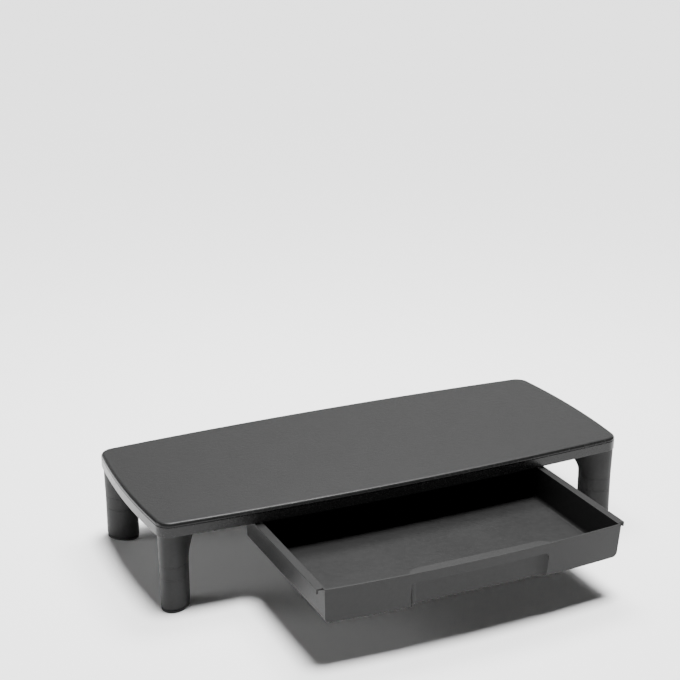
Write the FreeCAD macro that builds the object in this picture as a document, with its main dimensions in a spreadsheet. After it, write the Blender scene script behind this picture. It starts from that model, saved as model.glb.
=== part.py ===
import FreeCAD
import Part
import Sketcher
import math
import os

# A monitor stand: a moulded deck on four stacked legs, with a drawer that slides on two rails under it.
# Millimetres.  The origin is the centre of the deck's flat top, +X along its width, -Y to its front.

SIZES = {
    "deck_width": 600,  # over the bowed sides
    "deck_depth": 248,  # over the bowed front and back
    "deck_height": 16.5,
    "side_bow": 7,
    "front_bow": 10,
    "corner_radius": 17,
    "edge_round": 4,
    "groove_top": 4.2,
    "groove_height": 0.9,
    "groove_depth": 1,
    "panel": 3,
    "skirt_wall": 2.5,
    "cross_ribs": 7,
    "long_ribs": 2,
    "rib_thickness": 1.8,
    "rib_height": 9,
    "leg_edge_x": 26.5,  # from the side of the deck to the leg's axis
    "leg_edge_y": 28.6,
    "leg_long": 20,  # semi-axes of the leg's section
    "leg_short": 15.1,
    "leg_end_share": 0.8,  # radius of the section's ends over its short semi-axis
    "neck_long": 1,  # growth of the semi-axes towards the deck
    "neck_short": 3,
    "flare": 14,  # reach of the leg's top towards the middle of the deck
    "flare_share": 0.85,  # part of the upper piece's height that the flare takes
    "leg_wall": 2.5,
    "upper_height": 37.8,
    "spacer_height": 15.5,
    "foot_height": 34.8,
    "web": 3,
    "peg_long": 26,
    "peg_short": 19,
    "peg_web": 5,
    "peg_height": 9,
    "peg_play": 0.25,
    "plug_height": 9,
    "fit_gap": 0.25,
    "pad_height": 4.4,
    "pad_reveal": 0.5,
    "travel": 170,
    "front_setback": 7,  # closed front corner behind the deck's front edge
    "drawer_width": 358,
    "drawer_length": 217,
    "drawer_height": 40,
    "drawer_gap": 2,
    "drawer_bow": 8.2,
    "front_rake": 3,
    "side_draft": 2,
    "drawer_wall": 2.3,
    "drawer_floor": 2.2,
    "keel_round": 5.5,
    "inner_round": 4,
    "flange_width": 7,
    "flange_thickness": 2,
    "flange_start": 5,
    "lip_height": 5.5,
    "lip_wall": 2,
    "pull_width": 166,  # of the finger pull, between its square ends
    "pull_depth": 10,
    "pull_slant": 6,  # of the 45 degree corners between its ends and its back
    "pull_lip": 11.5,
    "pull_round": 5,
    "pull_back_round": 12,
    "rail_seat": 14.5,
    "rail_wall": 2.2,
    "rail_lead": 13,  # in front of its lug
    "side_play": 1.6,
    "slide_play": 0.3,
    "shelf_play": 1.5,
    "ear_width": 11.2,
    "ear_round": 3,
    "end_margin": 14,
    "tab_length": 6,
    "tab_height": 1.5,
    "lug_length": 5.7,
    "post_side": 8,  # square posts that the rails' ears sit on
}

UP = FreeCAD.Vector(0, 0, 1)
OVER = 1  # how far a cutting tool runs past the face it opens
NEAR = 0.01  # tolerance for picking edges by their place
CORNERS = {"fl": (-1, -1), "fr": (1, -1), "bl": (-1, 1), "br": (1, 1)}
DIAGONAL = math.sqrt(0.5)

doc = FreeCAD.newDocument("monitor_stand")
sheet = doc.addObject("Spreadsheet::Sheet", "Sizes")
for row, (alias, size) in enumerate(SIZES.items(), start=1):
    sheet.set(f"A{row}", alias.replace("_", " "))
    sheet.set(f"B{row}", str(size))
    sheet.setAlias(f"B{row}", alias)
doc.recompute()


def of(name):
    """The expression that reads one size of the sheet."""
    return f"Sizes.{name}"


def value(expression):
    """The number that an expression gives."""
    return float(sheet.evalExpression(expression))


def bind(thing, **expressions):
    """Tie properties to expressions; a double underscore stands for the dot of a nested property."""
    for key, expression in expressions.items():
        thing.setExpression(key.replace("__", "."), expression)
    return thing


def place(thing, x="0", y="0", z="0"):
    """Tie the position of a thing to three expressions."""
    return bind(thing, Placement__Base__x=x, Placement__Base__y=y, Placement__Base__z=z)


# Positions that several pieces share

HALF_WIDTH = f"{of('deck_width')} / 2"
HALF_DEPTH = f"{of('deck_depth')} / 2"
DECK_BOTTOM = f"-{of('deck_height')}"
UPPER_BOTTOM = f"({DECK_BOTTOM} - {of('upper_height')})"
SPACER_BOTTOM = f"({UPPER_BOTTOM} - {of('spacer_height')})"
FOOT_BOTTOM = f"({SPACER_BOTTOM} - {of('foot_height')})"
LEG_X = f"({HALF_WIDTH} - {of('leg_edge_x')})"
LEG_Y = f"({HALF_DEPTH} - {of('leg_edge_y')})"
SOCKET_INSET = f"({of('leg_wall')} - {of('fit_gap')})"
RIM = f"({DECK_BOTTOM} - {of('drawer_gap')})"
DRAWER_BOTTOM = f"({RIM} - {of('drawer_height')})"
DRAWER_SIDE = f"({of('drawer_width')} / 2)"
FRONT_CORNER = f"({of('front_setback')} - {HALF_DEPTH} - {of('travel')})"
DRAWER_BACK = f"({FRONT_CORNER} + {of('drawer_length')})"
FLANGE_EDGE = f"({DRAWER_SIDE} + {of('flange_width')})"
WEB_INNER = f"({FLANGE_EDGE} + {of('side_play')})"
WEB_OUTER = f"({WEB_INNER} + {of('rail_wall')})"
RAIL_TOP = f"-{of('rail_seat')}"
LUG_BACK = f"({DRAWER_BACK} - {of('tab_length')} - {of('slide_play')})"
RAIL_FRONT = f"({LUG_BACK} - {of('lug_length')} - {of('rail_lead')})"
STOP_FACE = f"({DRAWER_BACK} + {of('travel')} + {of('slide_play')})"
RAIL_BACK = f"({STOP_FACE} + {of('rail_wall')})"


# Sketch and solid helpers


def sketch_on(owner, name, plane="XY_Plane", level="0"):
    """A sketch in a body, on one of its origin planes, moved along the plane's normal by level."""
    sketch = owner.newObject("Sketcher::SketchObject", name)
    support = next(item for item in owner.Origin.OriginFeatures if item.Role == plane)
    sketch.AttachmentSupport = (support, [""])
    sketch.MapMode = "FlatFace"
    bind(sketch, AttachmentOffset__Base__z=level)
    return sketch


def constrain(sketch, name, expression, kind, *where):
    """Add one dimension to a sketch and tie it to an expression."""
    index = sketch.addConstraint(Sketcher.Constraint(kind, *where, value(expression)))
    sketch.renameConstraint(index, name)
    sketch.setExpression(f"Constraints.{name}", expression)


def draw_outline(sketch, points, arcs=None):
    """A closed outline through points given as pairs of expressions.

    arcs gives an edge, by its first point's number, the expression of its radius; the arc bulges outwards
    of an outline that runs counter-clockwise.
    """
    arcs = arcs or {}
    first = sketch.GeometryCount
    spots = [FreeCAD.Vector(value(x), value(y), 0) for x, y in points]
    ends = []
    for number, start in enumerate(spots):
        end = spots[(number + 1) % len(spots)]
        if number in arcs:
            radius = value(arcs[number])
            chord = end - start
            middle = (start + end) * 0.5
            inwards = FreeCAD.Vector(-chord.y, chord.x, 0).normalize()
            centre = middle + inwards * math.sqrt(radius**2 - (chord.Length / 2) ** 2)
            circle = Part.Circle(centre, UP, radius)
            angles = [math.atan2(spot.y - centre.y, spot.x - centre.x) for spot in (start, end)]
            geometry = Part.ArcOfCircle(circle, angles[0], angles[1])
        else:
            geometry = Part.LineSegment(start, end)
        ends.append(sketch.addGeometry(geometry))
    for number, edge in enumerate(ends):
        following = ends[(number + 1) % len(ends)]
        sketch.addConstraint(Sketcher.Constraint("Coincident", edge, 2, following, 1))
        x, y = points[number]
        constrain(sketch, f"x{first + number}", x, "DistanceX", -1, 1, edge, 1)
        constrain(sketch, f"y{first + number}", y, "DistanceY", -1, 1, edge, 1)
        if number in arcs:
            constrain(sketch, f"radius{first + number}", arcs[number], "Radius", edge)


def bow_radius(half_chord, bow):
    """The radius of an arc of a given half chord and rise."""
    return f"((({half_chord})^2 + ({bow})^2) / (2 * {bow}))"


FRONT_RADIUS = bow_radius(f"{HALF_WIDTH} - {of('side_bow')}", of("front_bow"))
SIDE_RADIUS = bow_radius(f"{HALF_DEPTH} - {of('front_bow')}", of("side_bow"))


def draw_deck_outline(sketch, inset="0"):
    """The deck's plan: four bowed edges and four round corners, drawn in from the edge by inset."""
    first = sketch.GeometryCount
    front = value(FRONT_RADIUS)
    side = value(SIDE_RADIUS)
    corner = value(of("corner_radius"))
    step = value(inset)
    front_centre = front - value(HALF_DEPTH)
    side_centre = side - value(HALF_WIDTH)
    # The corner's centre lies where the two bowed edges, both moved in by the corner's radius, cross.
    span = math.hypot(front_centre, side_centre)
    along = ((side - corner) ** 2 - (front - corner) ** 2 + span**2) / (2 * span)
    across = math.sqrt((side - corner) ** 2 - along**2)
    lean = math.atan2(-front_centre, side_centre)
    to_corner = lean + math.atan2(across, along)
    centre_x = (side - corner) * math.cos(to_corner) - side_centre
    centre_y = (side - corner) * math.sin(to_corner)
    half_front = math.atan2(centre_x, centre_y + front_centre)
    half_side = math.atan2(centre_y, centre_x + side_centre)
    quarter = math.pi / 2
    edges = [(0, front_centre, front), (-side_centre, 0, side)]
    edges += [(0, -front_centre, front), (side_centre, 0, side)]
    spans = [half_front, half_side, half_front, half_side]
    signs = [(1, -1), (1, 1), (-1, 1), (-1, -1)]
    for turn, ((x, y, radius), half, (sign_x, sign_y)) in enumerate(zip(edges, spans, signs)):
        middle = (turn - 1) * quarter
        arc = Part.Circle(FreeCAD.Vector(x, y, 0), UP, radius - step)
        sketch.addGeometry(Part.ArcOfCircle(arc, middle - half, middle + half))
        round_centre = FreeCAD.Vector(sign_x * centre_x, sign_y * centre_y, 0)
        arc = Part.Circle(round_centre, UP, corner - step)
        end = middle + quarter - spans[(turn + 1) % 4]
        sketch.addGeometry(Part.ArcOfCircle(arc, middle + half, end))
    for number in range(8):
        following = first + (number + 1) % 8
        sketch.addConstraint(Sketcher.Constraint("Tangent", first + number, 2, following, 1))
    front_edge, side_edge, back_edge, other_side = (first + number for number in (0, 2, 4, 6))
    for edge, axis in ((front_edge, -2), (side_edge, -1), (back_edge, -2), (other_side, -1)):
        sketch.addConstraint(Sketcher.Constraint("PointOnObject", edge, 3, axis))
    for edge in (first + 3, first + 5, first + 7):
        sketch.addConstraint(Sketcher.Constraint("Equal", first + 1, edge))
    tag = f"_{first}"
    constrain(sketch, "corner" + tag, f"{of('corner_radius')} - {inset}", "Radius", first + 1)
    for name, edge, radius in (("front", front_edge, FRONT_RADIUS), ("back", back_edge, FRONT_RADIUS),
                               ("right", side_edge, SIDE_RADIUS), ("left", other_side, SIDE_RADIUS)):
        constrain(sketch, name + tag, f"{radius} - {inset}", "Radius", edge)
    reach = f"{FRONT_RADIUS} - {HALF_DEPTH}"
    constrain(sketch, "front_at" + tag, reach, "DistanceY", -1, 1, front_edge, 3)
    constrain(sketch, "back_at" + tag, reach, "DistanceY", back_edge, 3, -1, 1)
    reach = f"{SIDE_RADIUS} - {HALF_WIDTH}"
    constrain(sketch, "right_at" + tag, reach, "DistanceX", side_edge, 3, -1, 1)
    constrain(sketch, "left_at" + tag, reach, "DistanceX", -1, 1, other_side, 3)


def new_body(name):
    """An empty body whose origin is ready for sketches."""
    owner = doc.addObject("PartDesign::Body", name)
    doc.recompute()
    return owner


def pad(owner, sketch, length, down=False):
    """Pad a sketch of a body by an expression."""
    feature = owner.newObject("PartDesign::Pad", sketch.Name + "_pad")
    feature.Profile = sketch
    feature.Reversed = down
    bind(feature, Length=length)
    doc.recompute()
    return feature


def pocket(owner, sketch, length, up=False):
    """Cut a sketch of a body by an expression."""
    feature = owner.newObject("PartDesign::Pocket", sketch.Name + "_pocket")
    feature.Profile = sketch
    feature.Reversed = up
    before = owner.Shape.Volume
    bind(feature, Length=length)
    doc.recompute()
    if owner.Shape.Volume >= before:
        raise RuntimeError(f"{feature.Name} cuts nothing")
    return feature


def fillet(owner, radius, chosen, name):
    """Round the edges of a body that the chosen test picks."""
    base = owner.Tip
    names = [f"Edge{number}" for number, edge in enumerate(base.Shape.Edges, start=1) if chosen(edge)]
    feature = owner.newObject("PartDesign::Fillet", name)
    feature.Base = (base, names)
    bind(feature, Radius=radius)
    doc.recompute()
    return feature


def extrusion(name, profile, length):
    """A solid raised from a closed profile."""
    solid = doc.addObject("Part::Extrusion", name)
    solid.Base = profile
    solid.DirMode = "Custom"
    solid.Dir = UP
    solid.Solid = True
    return bind(solid, LengthFwd=length)


def boolean(kind, name, base, tool):
    """A cut or a common of two solids."""
    result = doc.addObject(f"Part::{kind}", name)
    result.Base = base
    result.Tool = tool
    return result


def fused(name, solids):
    """One solid out of several."""
    result = doc.addObject("Part::MultiFuse", name)
    result.Shapes = solids
    return result


def mirrored(name, source, normal):
    """The mirror image of a solid in a plane through the origin."""
    result = doc.addObject("Part::Mirroring", name)
    result.Source = source
    result.Normal = normal
    return result


def cylinder(name, radius, height, x, y, z):
    """An upright cylinder, its foot at x, y, z."""
    solid = doc.addObject("Part::Cylinder", name)
    bind(solid, Radius=radius, Height=height)
    return place(solid, x, y, z)


def box(name, length, width, height, x, y, z):
    """An upright box, its least corner at x, y, z."""
    solid = doc.addObject("Part::Box", name)
    bind(solid, Length=length, Width=width, Height=height)
    return place(solid, x, y, z)


def draw_oval(sketch, long, short, inset):
    """A four-centre oval about the sketch's origin, its long axis along X, drawn in by inset."""
    end = f"({of('leg_end_share')} * {short})"
    reach = f"({long} - {end})"
    flank = f"(({reach}^2 + {short}^2 - {end}^2) / (2 * ({short} - {end})))"
    end_radius = value(end)
    flank_radius = value(flank)
    centre = value(reach)
    drop = flank_radius - value(short)
    lean = math.atan2(drop, centre)
    step = value(inset)
    quarter = math.pi / 2
    arcs = [(centre, 0, end_radius, 0, lean), (0, -drop, flank_radius, quarter, quarter - lean),
            (-centre, 0, end_radius, math.pi, lean), (0, drop, flank_radius, -quarter, quarter - lean)]
    for x, y, radius, middle, half in arcs:
        circle = Part.Circle(FreeCAD.Vector(x, y, 0), UP, radius - step)
        sketch.addGeometry(Part.ArcOfCircle(circle, middle - half, middle + half))
    for number in range(4):
        sketch.addConstraint(Sketcher.Constraint("Tangent", number, 2, (number + 1) % 4, 1))
    for number in (0, 2):
        sketch.addConstraint(Sketcher.Constraint("PointOnObject", number, 3, -1))
    constrain(sketch, "right_centre", reach, "DistanceX", -1, 1, 0, 3)
    constrain(sketch, "left_centre", reach, "DistanceX", 2, 3, -1, 1)
    constrain(sketch, "end", f"{end} - {inset}", "Radius", 0)
    constrain(sketch, "flank", f"{flank} - {inset}", "Radius", 1)
    sketch.addConstraint(Sketcher.Constraint("Equal", 0, 2))
    sketch.addConstraint(Sketcher.Constraint("Equal", 1, 3))


def at_corner(name, corner, level, shift="0"):
    """A sketch on a leg's axis, its X along the diagonal, moved towards the deck's middle by shift."""
    sign_x, sign_y = CORNERS[corner]
    sketch = doc.addObject("Sketcher::SketchObject", name)
    turn = FreeCAD.Rotation(UP, 45 * sign_x * sign_y)
    sketch.Placement = FreeCAD.Placement(FreeCAD.Vector(), turn)
    x = f"{sign_x} * ({LEG_X} - {shift} * {DIAGONAL})"
    y = f"{sign_y} * ({LEG_Y} - {shift} * {DIAGONAL})"
    return place(sketch, x, y, level)


def oval(name, corner, level, inset="0", grow="0", flare="0"):
    """The leg's section at one corner: an oval with its long axis towards the deck's centre.

    grow runs from 0 on the shaft to 1 at the neck, and flare draws the section out towards the deck's
    middle, so that its outer side stays put.
    """
    half_flare = f"({flare} / 2)"
    sketch = at_corner(name, corner, level, half_flare)
    long = f"({of('leg_long')} + {of('neck_long')} * {grow} + {half_flare})"
    short = f"({of('leg_short')} + {of('neck_short')} * {grow})"
    draw_oval(sketch, long, short, inset)
    return sketch


def outline_prism(name, inset, level, height):
    """The deck's outline, drawn in by inset, as an upright prism."""
    sketch = doc.addObject("Sketcher::SketchObject", name + "_plan")
    draw_deck_outline(sketch, inset)
    place(sketch, z=level)
    return extrusion(name, sketch, height)


# Deck


def make_deck():
    block = new_body("deck_block")
    plan = sketch_on(block, "deck_plan")
    draw_deck_outline(plan)
    pad(block, plan, of("deck_height"), down=True)
    fillet(block, of("edge_round"), lambda edge: edge.BoundBox.ZMin > -NEAR, "deck_edge_round")
    ring = sketch_on(block, "groove_plan", level=f"-{of('groove_top')}")
    draw_deck_outline(ring, f"(-{of('groove_depth')})")
    draw_deck_outline(ring, of("groove_depth"))
    pocket(block, ring, of("groove_height"))

    under_panel = f"(-{of('panel')})"
    cavity_height = f"({of('deck_height')} - {of('panel')} + {OVER})"
    cavity_bottom = f"({DECK_BOTTOM} - {OVER})"
    cavity = outline_prism("deck_cavity", of("skirt_wall"), cavity_bottom, cavity_height)
    rib_bottom = f"({under_panel} - {of('rib_height')})"
    rib_rise = f"({of('rib_height')} + {OVER})"
    kept = []
    for count, other, length, name in (("cross_ribs", HALF_WIDTH, of("deck_depth"), "cross_rib"),
                                       ("long_ribs", HALF_DEPTH, of("deck_width"), "long_rib")):
        for number in range(int(SIZES[count])):
            share = f"({2 * (number + 1)} / ({of(count)} + 1) - 1)"
            middle = f"{share} * {other} - {of('rib_thickness')} / 2"
            start = f"-{length} / 2"
            size = (of("rib_thickness"), length) if name == "cross_rib" else (length, of("rib_thickness"))
            spot = (middle, start) if name == "cross_rib" else (start, middle)
            kept.append(box(f"{name}_{number + 1}", *size, rib_rise, *spot, rib_bottom))
    half_post = f"{of('post_side')} / 2"
    rise = f"({of('rail_seat')} - {of('panel')} + {OVER})"
    for side, sign in (("left", -1), ("right", 1)):
        for number, y in enumerate(post_rows(), start=1):
            spot = (f"{sign} * {post_line()} - {half_post}", f"{y} - {half_post}", RAIL_TOP)
            kept.append(box(f"rail_post_{side}_{number}", of("post_side"), of("post_side"), rise, *spot))
    sockets = []
    for corner in CORNERS:
        rise = f"({of('deck_height')} - {of('panel')} + {OVER})"
        kept.append(extrusion(f"socket_wall_{corner}", oval(f"socket_{corner}", corner, DECK_BOTTOM), rise))
        depth = f"({of('plug_height')} + {of('fit_gap')} + {OVER})"
        section = oval(f"socket_in_{corner}", corner, f"({DECK_BOTTOM} - {OVER})", SOCKET_INSET)
        sockets.append(extrusion(f"socket_space_{corner}", section, depth))
    hollow = boolean("Cut", "deck_hollow", cavity, fused("deck_structure", kept))
    opened = boolean("Cut", "deck_opened", block, hollow)
    return boolean("Cut", "deck", opened, fused("deck_sockets", sockets))


# Rails, on which the drawer's flanges slide


def post_rows():
    """The places along Y of the two posts above a rail."""
    return f"({RAIL_FRONT} + {of('end_margin')})", f"({RAIL_BACK} - {of('end_margin')})"


def post_line():
    """The distance of the posts from the middle of the stand."""
    return f"({WEB_OUTER} + {of('ear_width')} / 2)"


def make_rail():
    """The right rail: a channel that opens inwards, with a lug and an end wall as stops."""
    rail = new_body("rail_right")
    roof = f"({RAIL_TOP} - {of('rail_wall')})"
    shelf_top = f"({RIM} - {of('lip_height')} - {of('slide_play')})"
    shelf_bottom = f"({shelf_top} - {of('rail_wall')})"
    inside = f"({DRAWER_SIDE} + {of('shelf_play')})"
    ear = f"({WEB_OUTER} + {of('ear_width')})"
    length = f"({RAIL_BACK} - {RAIL_FRONT})"
    # The plane's normal points to the front, so a level along it is a place on -Y.
    profile = sketch_on(rail, "rail_profile", "XZ_Plane", f"-{RAIL_BACK}")
    draw_outline(profile, [
        (inside, shelf_bottom), (WEB_OUTER, shelf_bottom), (WEB_OUTER, roof), (ear, roof),
        (ear, RAIL_TOP), (inside, RAIL_TOP), (inside, roof), (WEB_INNER, roof),
        (WEB_INNER, shelf_top), (inside, shelf_top),
    ])
    pad(rail, profile, length)
    stop = sketch_on(rail, "rail_stop", "XZ_Plane", f"-{RAIL_BACK}")
    draw_outline(stop, [(inside, shelf_bottom), (WEB_OUTER, shelf_bottom), (WEB_OUTER, RAIL_TOP),
                        (inside, RAIL_TOP)])
    pad(rail, stop, of("rail_wall"))
    lug = sketch_on(rail, "rail_lug", "XZ_Plane", f"-{LUG_BACK}")
    lug_bottom = f"({RIM} + {of('slide_play')})"
    draw_outline(lug, [(inside, lug_bottom), (WEB_INNER, lug_bottom), (WEB_INNER, RAIL_TOP),
                       (inside, RAIL_TOP)])
    pad(rail, lug, of("lug_length"))

    def ear_corner(edge):
        bounds = edge.BoundBox
        return bounds.XMin > value(ear) - NEAR and bounds.ZLength > OVER

    fillet(rail, of("ear_round"), ear_corner, "ear_corner_round")
    return rail, mirrored("rail_left", rail, FreeCAD.Vector(1, 0, 0))


# Legs: a flared upper piece, a spacer and a foot, pegged into each other, on a rubber pad

BUILT_CORNER = "br"
FLARE_STEPS = 7


def disc(name, level, height, inset="0", grow="0", flare="0"):
    """A straight piece of the leg's section, drawn in by inset."""
    return extrusion(name, oval(f"{name}_edge", BUILT_CORNER, level, inset, grow, flare), height)


def column(name):
    """The upper piece's outer shape: it tapers from the deck and flares out to it."""
    sections = []
    for number in range(FLARE_STEPS + 1):
        share = number / FLARE_STEPS
        level = f"{DECK_BOTTOM} - {of('upper_height')} * {share}"
        turn = f"(min({share} / {of('flare_share')}; 1) * 180)"
        flare = f"({of('flare')} * (1 + cos({turn})) / 2)"
        sections.append(oval(f"{name}_{number}", BUILT_CORNER, level, "0", f"{1 - share}", flare))
    solid = doc.addObject("Part::Loft", name)
    solid.Sections = sections
    solid.Solid = True
    solid.Ruled = True
    return solid


def peg(name, level, height, gap="0"):
    """A cross-shaped peg on the leg's axis, drawn in by gap all round."""
    long = f"({of('peg_long')} / 2 - {gap})"
    short = f"({of('peg_short')} / 2 - {gap})"
    half = f"({of('peg_web')} / 2 - {gap})"
    sketch = at_corner(f"{name}_cross", BUILT_CORNER, level)
    draw_outline(sketch, [
        (long, f"-{half}"), (long, half), (half, half), (half, short), (f"-{half}", short),
        (f"-{half}", half), (f"-{long}", half), (f"-{long}", f"-{half}"), (f"-{half}", f"-{half}"),
        (f"-{half}", f"-{short}"), (half, f"-{short}"), (half, f"-{half}"),
    ])
    return extrusion(name, sketch, height)


def segment(name, top, height):
    """A leg piece from its top downwards, with a peg on top."""
    block = disc(f"{name}_block", f"({top} - {height})", height)
    peg_height = f"({of('peg_height')} - {of('peg_play')})"
    tall = peg(f"{name}_peg", top, peg_height, of("peg_play"))
    return fused(name, [block, tall])


def make_spacer():
    """The spacer: a leg piece with a socket for the foot's peg."""
    whole = segment("spacer_whole", UPPER_BOTTOM, of("spacer_height"))
    socket = peg("spacer_socket", f"({SPACER_BOTTOM} - {OVER})", f"({of('peg_height')} + {OVER})")
    return boolean("Cut", "spacer_piece", whole, socket)


def make_upper():
    """The flared upper piece: hollow below a web, with a plug on top for the deck's socket."""
    bottom = f"({UPPER_BOTTOM} - {OVER})"
    core = disc("upper_core", bottom, f"({of('upper_height')} - {of('web')} + {OVER})", of("leg_wall"))
    shell = boolean("Cut", "upper_shell", column("upper_outside"), core)
    return fused("upper_piece", [shell, disc("upper_plug", DECK_BOTTOM, of("plug_height"), of("leg_wall"))])


def make_foot_pad():
    """The flat rubber pad glued under a foot."""
    bottom = f"({FOOT_BOTTOM} - {of('pad_height')})"
    return disc("pad_piece", bottom, of("pad_height"), of("pad_reveal"))


def make_legs():
    """The leg pieces, built at one corner and mirrored to the others."""
    upper = make_upper()
    other = mirrored("upper_left", upper, FreeCAD.Vector(1, 0, 0))
    back = doc.addObject("Part::Compound", "leg_tops_back")
    back.Links = [upper, other]
    pairs = [back, mirrored("leg_tops_front", back, FreeCAD.Vector(0, 1, 0))]
    built = {
        "leg_spacer": make_spacer(),
        "leg_foot": segment("foot_piece", SPACER_BOTTOM, of("foot_height")),
        "foot_pad": make_foot_pad(),
    }
    made = []
    for name, source in built.items():
        front = mirrored(f"{name}_fr", source, FreeCAD.Vector(0, 1, 0))
        made += [front, mirrored(f"{name}_fl", front, FreeCAD.Vector(1, 0, 0))]
        left = mirrored(f"{name}_bl", source, FreeCAD.Vector(1, 0, 0))
        made += [left, mirrored(f"{name}_br", left, FreeCAD.Vector(1, 0, 0))]
    return pairs + made


# Drawer, drawn open


def slanted(name, profile, lean, height):
    """A solid raised from a profile by height, leaning to the front by lean over the drawer's height."""
    solid = extrusion(name, profile, f"{height} * sqrt(1 + ({lean} / {of('drawer_height')})^2)")
    return bind(solid, Dir__y=f"-{lean}", Dir__z=of("drawer_height"))


def plan_sketch(name, level):
    """A free sketch, level with the deck, at a height."""
    sketch = doc.addObject("Sketcher::SketchObject", name)
    place(sketch, z=level)
    return sketch


def drawer_front(name, tip, radius, back, height):
    """The drawer's plan as a prism: a bowed front through tip that leans forwards, and a straight back."""
    wide = f"({DRAWER_SIDE} + {OVER})"
    front = f"({tip} + {radius} - sqrt({radius}^2 - {wide}^2))"
    sketch = plan_sketch(name + "_plan", DRAWER_BOTTOM)
    behind = f"({back} + {of('keel_round')})"
    draw_outline(sketch, [(f"-{wide}", front), (wide, front), (wide, behind), (f"-{wide}", behind)],
                 {0: radius})
    return slanted(name, sketch, of("front_rake"), height)


def drawer_section(name, inset, bottom, top, back, corner_round):
    """The drawer's cross-section, drafted sides over round keels, run from its back to the front."""
    owner = new_body(name)
    lean = f"({of('side_draft')} / {of('drawer_height')})"
    low = f"({DRAWER_SIDE} - {inset} - {of('side_draft')} + ({bottom} - {DRAWER_BOTTOM}) * {lean})"
    high = f"({DRAWER_SIDE} - {inset} + ({top} - {RIM}) * {lean})"
    view = sketch_on(owner, f"{name}_view", "XZ_Plane", f"-{back}")
    draw_outline(view, [(f"-{low}", bottom), (low, bottom), (high, top), (f"-{high}", top)])
    pad(owner, view, f"({of('drawer_length')} + {of('drawer_bow')} + {OVER})")

    def keel(edge):
        bounds = edge.BoundBox
        return bounds.ZMax < value(bottom) + NEAR and bounds.XLength < OVER

    fillet(owner, corner_round, keel, f"{name}_keels")
    return owner


def draw_pull_plan(sketch, half, face, reach, slant):
    """The finger pull's plan: a flat back, slanted corners, square ends and a front beyond the drawer."""
    flat = f"({half} - {slant})"
    end = f"({face} - {slant})"
    draw_outline(sketch, [(f"-{half}", reach), (half, reach), (half, end), (flat, face),
                          (f"-{flat}", face), (f"-{half}", end)])


def pull_block(name, half, face, reach, slant, bottom, top, back_round):
    """The space or the skin of the finger pull, with round back corners."""
    owner = new_body(name)
    plan = sketch_on(owner, f"{name}_plan", level=bottom)
    draw_pull_plan(plan, half, face, reach, slant)
    pad(owner, plan, f"({top} - {bottom})")

    def back_corner(edge):
        return edge.BoundBox.ZLength > OVER and edge.BoundBox.YMin > value(face) - NEAR

    fillet(owner, back_round, back_corner, f"{name}_corners")
    return owner


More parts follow.
